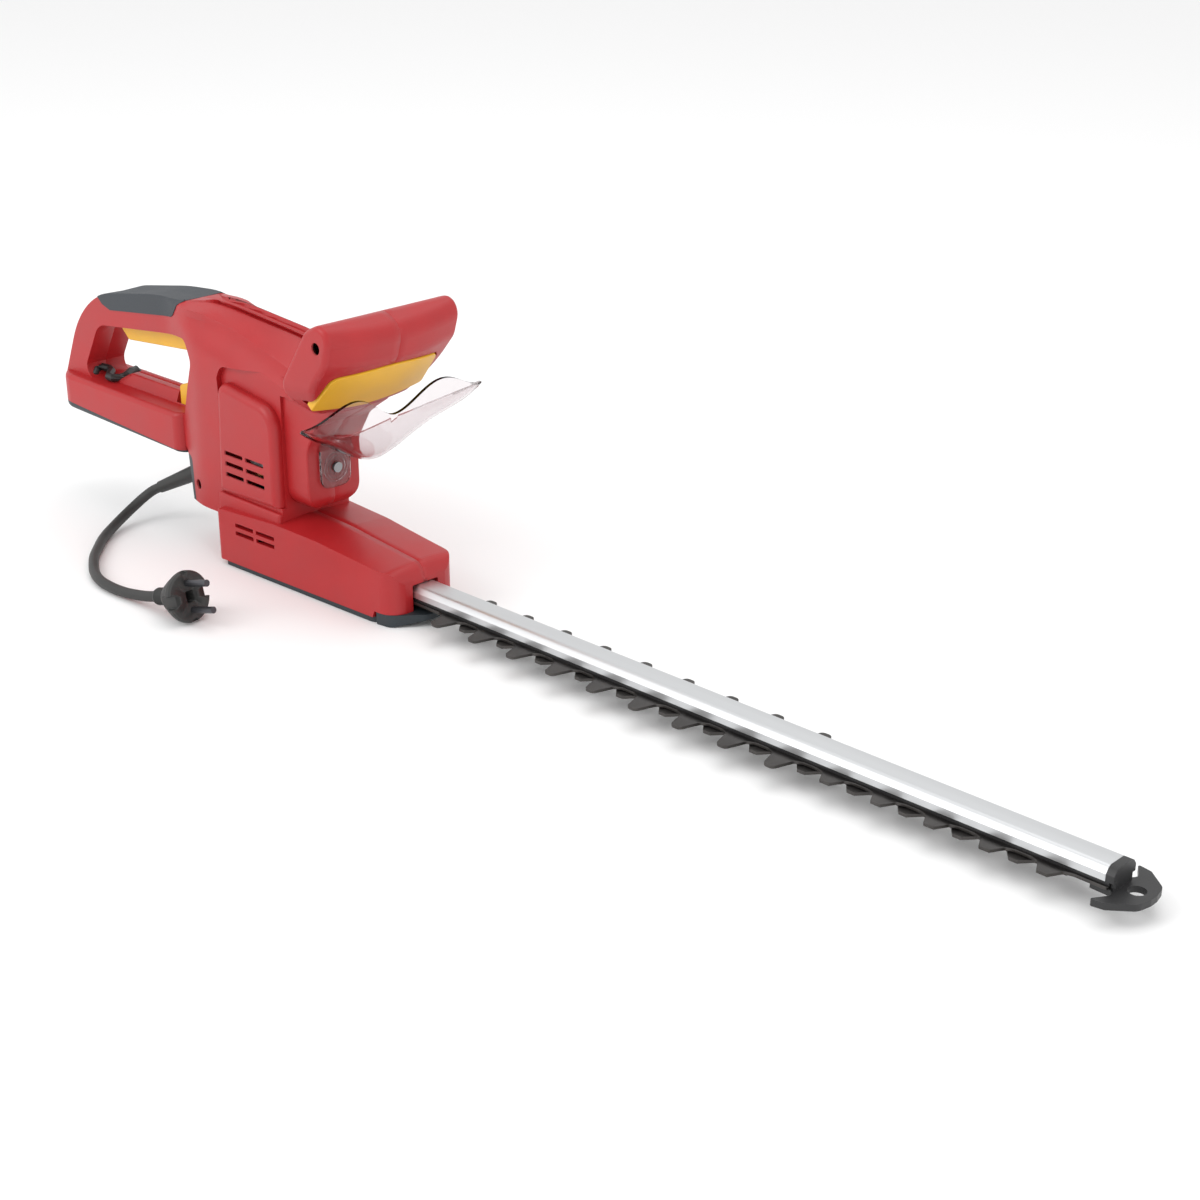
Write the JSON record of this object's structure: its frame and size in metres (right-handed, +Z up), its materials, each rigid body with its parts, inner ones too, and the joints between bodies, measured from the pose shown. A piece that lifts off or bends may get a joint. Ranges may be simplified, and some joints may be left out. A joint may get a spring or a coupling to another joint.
{
  "type": "hedge trimmer",
  "caption": "Corded electric hedge trimmer with a toothed comb and sliding cutter, loop rear handle, front bar handle, clear hand guard and a short power cord with plug.",
  "frame": {"origin": "on the flat underside of the gearbox base, below the motor shaft axis", "axes": "+X along the blade towards its tip, +Y to the left of a user holding it, +Z up"},
  "size_m": [0.9675, 0.2117, 0.2102],
  "materials": {
    "red_shell": "satin moulded, fine grain",
    "dark_plastic": "moulded, fine grain",
    "soft_grip": "soft matt overmould",
    "clear_plastic": "clear moulded",
    "yellow_plastic": "satin moulded",
    "black_plastic": "moulded",
    "blade_steel": "ground, lightly oiled",
    "rail_aluminium": "anodised, satin",
    "cast_aluminium": "die cast",
    "machined_steel": "machined",
    "core_steel": "laminated",
    "copper": "enamelled copper",
    "brass": "plated",
    "carbon": "pressed carbon",
    "cord_rubber": "matt rubber",
    "zinc_steel": "zinc plated"
  },
  "bodies": {
    "housing": {"housing_right": "red_shell", "housing_left": "red_shell", "side_cover_right": "red_shell", "side_cover_left": "red_shell", "base_plate": "dark_plastic", "rear_trim": "dark_plastic", "grip_pad": "soft_grip", "front_handle_right": "red_shell", "front_handle_left": "red_shell", "hand_guard": "clear_plastic", "guard_screw": "zinc_steel", "handle_screws": "zinc_steel", "cord_hook": "black_plastic", "trigger_pivot": "machined_steel", "trigger_spring": "machined_steel", "bar_springs": "machined_steel", "stator": "core_steel", "field_coils": "copper", "upper_bearing": "machined_steel", "lower_bearing": "machined_steel", "bearing_bracket": "black_plastic", "brush_holders": "brass", "brushes": "carbon", "gear_plate": "cast_aluminium", "gear_plate_screws": "zinc_steel", "gear_bush": "brass", "comb": "blade_steel", "blade_spacer": "black_plastic", "guide_rail": "rail_aluminium", "tip_protector": "black_plastic", "blade_screws": "zinc_steel", "blade_nuts": "zinc_steel", "blade_clamp": "cast_aluminium", "rear_switch": "black_plastic", "front_switch": "black_plastic", "capacitor": "black_plastic", "cord_clamp": "black_plastic", "strain_relief": "cord_rubber", "power_cord": "cord_rubber", "plug_body": "cord_rubber", "plug_pins": "brass", "housing_screws": "zinc_steel", "base_screws": "zinc_steel"},
    "cutter": {"cutter": "blade_steel", "drive_yoke": "machined_steel", "yoke_rivets": "machined_steel"},
    "gear": {"spur_gear": "machined_steel", "gear_shaft": "machined_steel", "eccentric_pin": "machined_steel"},
    "armature": {"armature_core": "core_steel", "armature_shaft": "machined_steel", "commutator": "copper", "fan": "black_plastic", "pinion": "machined_steel"},
    "trigger": {"trigger": "yellow_plastic"},
    "lock": {"lock_slider": "yellow_plastic"},
    "switch_bar": {"switch_bar": "yellow_plastic"}
  },
  "joints": [
    {"name": "gear_spin", "type": "hinge", "parent": "housing", "child": "gear", "pos_m": [0.03, 0, 0.03], "axis": [0, 0, 1], "continuous": true},
    {"name": "armature_spin", "type": "hinge", "parent": "housing", "child": "armature", "pos_m": [0, 0, 0.1], "axis": [0, 0, 1], "continuous": true},
    {"name": "cutter_slide", "type": "slide", "parent": "housing", "child": "cutter", "axis": [1, 0, 0], "range_m": [-0.01, 0.01]},
    {"name": "trigger_pull", "type": "hinge", "parent": "housing", "child": "trigger", "pos_m": [-0.086, 0, 0.157], "axis": [0, 1, 0], "range_deg": [0, 4], "stiffness_Nm_per_rad": 6, "springref_deg": -2.86, "deforming": ["trigger_spring"]},
    {"name": "lock_slide", "type": "slide", "parent": "housing", "child": "lock", "axis": [-1, 0, 0], "range_m": [0, 0.004], "stiffness_N_per_m": 300, "springref_m": -0.001},
    {"name": "bar_press", "type": "slide", "parent": "housing", "child": "switch_bar", "axis": [-0.7606, 0, 0.6493], "range_m": [0, 0.004], "stiffness_N_per_m": 1200, "springref_m": -0.001, "deforming": ["bar_springs"]}
  ],
  "couplings": [
    {"joint": "armature_spin", "follows": "gear_spin", "ratio": -5}
  ]
}
